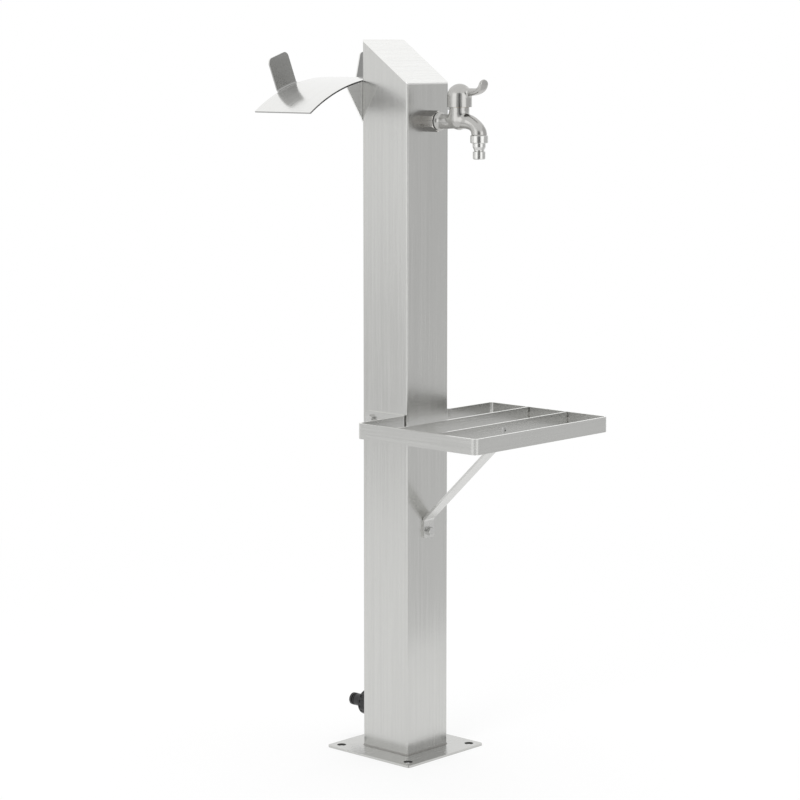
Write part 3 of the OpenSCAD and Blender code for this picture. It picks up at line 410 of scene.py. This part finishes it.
# The barrel begins with a flat shoulder that falls to the pipe in a quarter of an oval.
shoulder_end, fall_length = body_face + 2, 5
fall = np.linspace(0, 1, 12) * np.pi / 2
fall_r = barrel_r + (shoulder_r - barrel_r) * (1 - np.sin(fall))
fall_y = shoulder_end + fall_length * (1 - np.cos(fall))
shoulder = [(10.8, body_face - 2), (11.7, body_face)]
shoulder += [(shoulder_r, body_face + 0.6), (shoulder_r, shoulder_end)]
barrel_profile = shoulder + list(zip(fall_r, fall_y)) + [(barrel_r, stem_y + 4)]
barrel = closed_skin("barrel", laid_forward(turned(barrel_profile), tap_z))
neck_profile = arc(neck_r, tap_z + 2, -89, 0) + [(neck_r, neck_top + 3)]
neck = closed_skin("neck", set_forward(turned(neck_profile), stem_y))

# Towards the post the neck flares out onto the barrel: ovals that grow longer downwards.
rise = np.linspace(0, 1, 16)[:, None]
flare = 10.0 * (1 - rise) ** 2
angle = full_turn(96)
web_rings = np.stack([(neck_r - 0.13 * flare) * np.cos(angle),
                      flare / 2 - stem_y + (neck_r + flare / 2) * np.sin(angle),
                      tap_z + 1 + (neck_top - tap_z) * rise + 0 * angle], axis=-1)
web = closed_skin("web", web_rings)

# The spout's middle line runs level from the stem and then down a quarter of an ellipse. Its
# radius narrows to the waist half way and widens again to the end.
lead, spout_high, spout_low = 7.5, tap_z + 1, 828.0
root_r, waist_r, end_r = 10.3, 8.9, 10.2
along = np.linspace(0, 1, 40)
bend = along * np.pi / 2
wide, tall = spout_y - stem_y - lead, spout_high - spout_low
line_y = stem_y + lead + wide * np.sin(bend)
line_z = spout_high - tall * (1 - np.cos(bend))
slope_y, slope_z = wide * np.cos(bend), -tall * np.sin(bend)
steep = np.hypot(slope_y, slope_z)
slope_y, slope_z = slope_y / steep, slope_z / steep
spout_r = waist_r + (1 + np.cos(4 * bend)) / 2 * (np.where(along < 0.5, root_r, end_r) - waist_r)
line_y = np.concatenate([[stem_y + 1], line_y])[:, None]
line_z = np.concatenate([[spout_high], line_z])[:, None]
slope_y, slope_z, spout_r = (np.concatenate([row[:1], row])[:, None] for row in (slope_y, slope_z, spout_r))
angle = full_turn(64)
spout_rings = np.stack([spout_r * np.cos(angle),
                        -line_y + slope_z * spout_r * np.sin(angle),
                        line_z + slope_y * spout_r * np.sin(angle)], axis=-1)
spout = closed_skin("spout", spout_rings)
stub = closed_skin("stub", set_forward(turned([(8.6, 820.5), (8.6, 832)]), spout_y))

fillets = [((0, -stem_y + 16, tap_z + 9), 8.0), ((0, -stem_y - 13, tap_z + 10), 5.5),
           ((0, -stem_y + 9, tap_z - 9), 7.0), ((0, -stem_y - 9, tap_z - 9), 7.0)]
for side in (-1, 1):
    fillets += [((8 * side, -stem_y + 10, tap_z + 1), 8.0), ((9 * side, -stem_y - 9, tap_z + 5), 7.0)]
body = cast("tap_casting", [barrel, neck, web, spout, stub], 0.45, fillets)
# Each bore is open at the casting's end, where the cutter reaches past it.
valve_r, thread_r, water_r, past = 9, 7.55, 4.5, 20
neck_bore = turned([(valve_r, seat_z), (valve_r, neck_top), (past, neck_top), (past, neck_top + 8)])
barrel_bore = turned([(past, 50), (past, body_face), (thread_r, body_face), (thread_r, 69)])
spout_bore = turned([(water_r, 812), (water_r, 838)])
machined(body, neck_bore=set_forward(neck_bore, stem_y), barrel_bore=laid_forward(barrel_bore, tap_z),
         spout_bore=set_forward(spout_bore, spout_y))

cap_r, cap_low, dome_z, wall = 16.0, 863.6, 877.5, 1.7
cap_profile = [(cap_r, cap_low - 2), (cap_r, dome_z)] + arc(cap_r, dome_z, 4, 89.8, 28)
cap = closed_skin("cap", set_forward(turned(cap_profile), stem_y))


def closing(along, start, length):
    """1 up to the start, and from there a quarter of an ellipse down to 0."""
    return np.sqrt(np.clip(1 - (np.maximum(along - start, 0) / length) ** 2, 0, 1))


def full_sided(wave):
    """A sine or cosine that stays longer near 1, so the oval gets fuller sides."""
    return np.sign(wave) * np.abs(wave) ** 0.78


# The lever's middle line is a cubic curve from the cap to the tip, in lengths in front of the
# valve's axis and heights. Its section is an oval with full sides that swells to the paddle, gets
# thinner and closes in a round end.
along = np.linspace(0, 1, 48)[:, None]
rest = 1 - along
knots = np.array([[8, 883.3], [28.7, 882.6], [41.6, 881.9], [41, 899.3]])
line = (rest ** 3 * knots[0] + 3 * rest ** 2 * along * knots[1]
        + 3 * rest * along ** 2 * knots[2] + along ** 3 * knots[3])
chords = np.diff(knots, axis=0)
heading = 3 * rest ** 2 * chords[0] + 6 * rest * along * chords[1] + 3 * along ** 2 * chords[2]
heading /= np.linalg.norm(heading, axis=1)[:, None]
root_w, paddle_w, swollen_at = 9, 16.5, 0.75
swell = root_w + (paddle_w - root_w) * (1 - np.cos(np.pi * np.minimum(1, along / swollen_at))) / 2
half_w = swell / 2 * closing(along, 0.86, 0.142)
tip_thick, root_extra = 2.8, 8.4
half_t = (tip_thick + root_extra * rest ** 0.6) / 2 * closing(along, 0.93, 0.075)
angle = full_turn(48)
above = half_t * full_sided(np.sin(angle))
lever_rings = np.stack([half_w * full_sided(np.cos(angle)),
                        -stem_y - line[:, :1] + above * heading[:, 1:],
                        line[:, 1:] + above * heading[:, :1]], axis=-1)
lever = closed_skin("lever", lever_rings)

fillets = [((0, -stem_y - 15.0, 887.5), 5.5), ((0, -stem_y - 16, 878), 4.5)]
fillets += [((4.5 * side, -stem_y - 15.5, 883), 4.5) for side in (-1, 1)]
handle = cast("handle_casting", [cap, lever], 0.4, fillets)
# The cap is hollow round a boss that takes the spindle, with a hole for the set screw behind.
boss_r, boss_low, spindle_r, spindle_top, inner_r = 8, 872.8, 4.05, 880.8, cap_r - wall
hollow = [(22, cap_low - 8), (22, cap_low), (inner_r, cap_low), (inner_r, dome_z)]
hollow += arc(inner_r, dome_z, 4, np.degrees(np.arccos(boss_r / inner_r)), 12)
hollow += [(boss_r, boss_low), (spindle_r, boss_low), (spindle_r, spindle_top), (0.02, spindle_top)]
screw_r, screw_z = 2.05, 875.8
screw_hole = turned([(screw_r, 4), (screw_r, 20)])
screw_hole = np.stack([screw_hole[..., 0], screw_hole[..., 2], screw_z - screw_hole[..., 1]], axis=-1)
machined(handle, hollow=set_forward(turned(hollow), stem_y), screw_hole=set_forward(screw_hole, stem_y))

satin = bright_steel("satin_casting", (0.49, 0.485, 0.47), 0.21)
for piece, node, rider in ((body, "tap_body", "stand"), (handle, "tap_handle", "handle")):
    piece.data.materials.clear()
    piece.data.materials.append(satin)
    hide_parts(node)
    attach(piece, rider)
dress(bright_steel("polished_steel", (0.62, 0.62, 0.605), 0.13), "hose_nipple", "inlet_stub")
# The hexagon's upright flats and its ends carry a painted highlight, and its sloping flats are
# painted darker as shade.
shaded_sloping_flats = looking_along(2, 0.4, 0.7)
adapter_steel = ground_steel("adapter_steel", FORWARD, (0.85, 0.825, 0.79), 0.28, 0.5, painted_light=(shaded_sloping_flats, 0.27))
dress(adapter_steel, "tap_adapter")
dress(bright_steel("machined_brass", (0.72, 0.52, 0.24), 0.22),
      "tap_lock_nut", "bonnet_nut", "spindle", "inlet_lock_nut", "inlet_elbow", "tap_elbow")

# Soft and ceramic parts
# Rubber seals, the valve's ceramic discs, the black plastic coupling at the inlet and the hose
# inside the post, each with a fine moulded grain. The blackened set screw looks like the seals.


def soft_plastic(name, colour, roughness, scale=1400.0):
    """A moulded part: one noise dents the surface with a fine grain, a broad one moves the
    roughness and clouds the colour."""
    material, tree, shader = new_material(name, 0.0)
    grain = stretched_noise(tree, (scale,) * 3, 3.0)
    clouds = stretched_noise(tree, (90.0,) * 3, 2.0)
    rough_clouds = remap(tree, clouds, roughness - 0.06, roughness + 0.08)
    tree.links.new(rough_clouds, shader.inputs["Roughness"])
    dark, light = scaled_colour(colour, 0.85), scaled_colour(colour, 1.2, 0.004)
    tree.links.new(mixed_colour(tree, clouds, dark, light), shader.inputs["Base Color"])
    dent(tree, shader, grain, 0.3, 0.00005)
    return material


dress(soft_plastic("seal_rubber", (0.02, 0.02, 0.02), 0.55), "tap_gasket", "seat_seal", "spindle_o_rings",
      "spout_seal", "inlet_seal", "coupling_o_ring", "handle_screw")
dress(soft_plastic("valve_ceramic", (0.85, 0.84, 0.82), 0.25), "fixed_disc", "moving_disc")
dress(soft_plastic("coupling_plastic", (0.012, 0.012, 0.013), 0.3), "inlet_coupling")
dress(soft_plastic("hose_braid", (0.35, 0.36, 0.37), 0.4, 500.0), "supply_hose")

# Studio
# White floor and surroundings, and soft light from above and from the left. Only the metal
# mirrors the cards and mats: dark and grey behind the camera, a bright strip on either side of
# them, and grey ones far to the right and on the floor on both sides.


def panel(name, corners):
    """A four-cornered flat mesh."""
    mesh = bpy.data.meshes.new(name)
    mesh.from_pydata(corners, [], [(0, 1, 2, 3)])
    thing = bpy.data.objects.new(name, mesh)
    bpy.context.scene.collection.objects.link(thing)
    return thing


def seen_by_eye(tree):
    """1 for what the camera sees, straight, mirrored or through something, and 0 for the light
    that falls on the object."""
    path = tree.nodes.new("ShaderNodeLightPath").outputs
    mirrored = worked_out(tree, "MAXIMUM", path["Is Camera Ray"], path["Is Glossy Ray"])
    return worked_out(tree, "MAXIMUM", mirrored, path["Is Transmission Ray"])


def two_shaders(tree, factor, first, second, output):
    """The output's surface is the first shader where the factor is 0, the second where it is 1."""
    mix = tree.nodes.new("ShaderNodeMixShader")
    tree.links.new(factor, mix.inputs[0])
    tree.links.new(first.outputs[0], mix.inputs[1])
    tree.links.new(second.outputs[0], mix.inputs[2])
    tree.links.new(mix.outputs[0], tree.nodes[output].inputs["Surface"])


def level_corners(near, far, height):
    """Corners of a level rectangle between two opposite corners (x, y)."""
    ground = [near, (far[0], near[1]), far, (near[0], far[1])]
    return [(*corner, height) for corner in ground]


# The floor keeps the object's shadow near it and turns into plain white further out.
floor = panel("floor", level_corners((-12.0, -12.0), (12.0, 12.0), 0))
floor_white, tree, shader = new_material("floor_white", 0.0)
shader.inputs["Base Color"].default_value = (0.93, 0.93, 0.93, 1)
shader.inputs["Roughness"].default_value = 0.9
shader.inputs["Specular IOR Level"].default_value = 0.0
glow = add_node(tree, "ShaderNodeEmission", Color=(1, 1, 1, 1), Strength=1.0)
coords = tree.nodes.new("ShaderNodeTexCoord")
away = tree.nodes.new("ShaderNodeVectorMath")
away.operation = "LENGTH"
tree.links.new(coords.outputs["Object"], away.inputs[0])
whiter = remap(tree, away.outputs["Value"], 0.72, 1.0, 0.3, 1.6)
two_shaders(tree, worked_out(tree, "MULTIPLY", seen_by_eye(tree), whiter), shader, glow, "Material Output")
floor.data.materials.append(floor_white)


def grey_card(name, corners, level):
    """A card or mat of one grey, which the metal mirrors and nothing else sees."""
    card = panel(name, corners)
    material, tree, _ = new_material(name, 0.0)
    grey = add_node(tree, "ShaderNodeEmission", Color=(level, level, level, 1), Strength=1.0)
    tree.links.new(grey.outputs[0], tree.nodes["Material Output"].inputs["Surface"])
    card.data.materials.append(material)
    card.visible_camera = False
    card.visible_diffuse = False
    card.visible_shadow = False


camera_side = -47.31


def facing(side, half_angle, distance, low, high):
    """Corners of an upright card: side is the angle of its middle from the camera's direction,
    positive to the right, and half_angle is half of what it takes up, both in degrees."""
    ends = np.radians(camera_side + side + np.array([-half_angle, half_angle]))
    left, right = [(distance * np.sin(end), -distance * np.cos(end)) for end in ends]
    return [(*left, low), (*right, low), (*right, high), (*left, high)]


card_low, card_high, mat_height = 0.05, 3.2, 0.002
grey_card("right_card", facing(95, 33, 4.6, card_low, 4.5), 0.68)
grey_card("floor_mat", level_corners((0.2, -0.5), (3.5, -4.5), mat_height), 0.75)
grey_card("left_mat", level_corners((-1.6, 1.1), (-5.2, 5.0), mat_height), 0.74)
for name, side, half_angle, distance, level in (("dark_card", -2, 8, 4.2, 0.06),
                                                ("camera_card", -5, 25, 4.8, 0.55),
                                                ("left_strip", -51, 20, 4.8, 1.5),
                                                ("right_strip", 41, 17, 4.8, 1.5)):
    grey_card(name, facing(side, half_angle, distance, card_low, card_high), level)

# The world is white to the eye and the mirrors, and less strong as light on the object.
world = bpy.data.worlds.new("studio")
bpy.context.scene.world = world
world.use_nodes = True
tree = world.node_tree
seen_white = tree.nodes["Background"]
seen_white.inputs["Color"].default_value = (1, 1, 1, 1)
seen_white.inputs["Strength"].default_value = 1.0
fill = add_node(tree, "ShaderNodeBackground", Color=(1, 1, 1, 1), Strength=0.72)
two_shaders(tree, seen_by_eye(tree), fill, seen_white, "World Output")


def softbox(name, place, target, size, power):
    """A square area lamp at place that shines towards target. The metal mirrors the world and
    the cards, not the lamp, so no face clips when it tips into the lamp's mirror image."""
    data = bpy.data.lights.new(name, "AREA")
    data.size = size
    data.energy = power
    lamp = bpy.data.objects.new(name, data)
    bpy.context.scene.collection.objects.link(lamp)
    lamp.location = place
    lamp.visible_glossy = False
    lamp.rotation_mode = "QUATERNION"
    lamp.rotation_quaternion = (Vector(target) - Vector(place)).to_track_quat("-Z", "Y")


softbox("top_box", (0.6, 0.4, 3.2), (0, 0, 0.4), 2.0, 38.0)
softbox("left_box", (-3.0, -0.6, 1.9), (0, 0, 0.5), 1.6, 26.0)

# Camera
# It looks down a little at the middle of the post, with a long lens, and stands so that the
# post's two faces have the widths that they have in the photograph.
camera_data = bpy.data.cameras.new("camera")
camera = bpy.data.objects.new("camera", camera_data)
bpy.context.scene.collection.objects.link(camera)
bpy.context.scene.camera = camera
azimuth, elevation, distance = np.radians(camera_side), np.radians(7.15), 3.337
level_ahead = Vector((-np.sin(azimuth), np.cos(azimuth), 0))
ahead = level_ahead * np.cos(elevation) - Vector((0, 0, np.sin(elevation)))
right = Vector((np.cos(azimuth), np.sin(azimuth), 0))
up = right.cross(ahead)
post_middle, aim_right, aim_up = Vector((0, 0, 0.475)), -0.0072, 0.0519
target = post_middle + right * aim_right + up * aim_up
camera.location = target - ahead * distance
camera.rotation_mode = "QUATERNION"
camera.rotation_quaternion = ahead.to_track_quat("-Z", "Y")
camera_data.sensor_width = 36.0
camera_data.lens = 112.75
camera_data.shift_y = -0.05
camera_data.clip_end = 60.0

bpy.context.scene.view_settings.view_transform = "Standard"
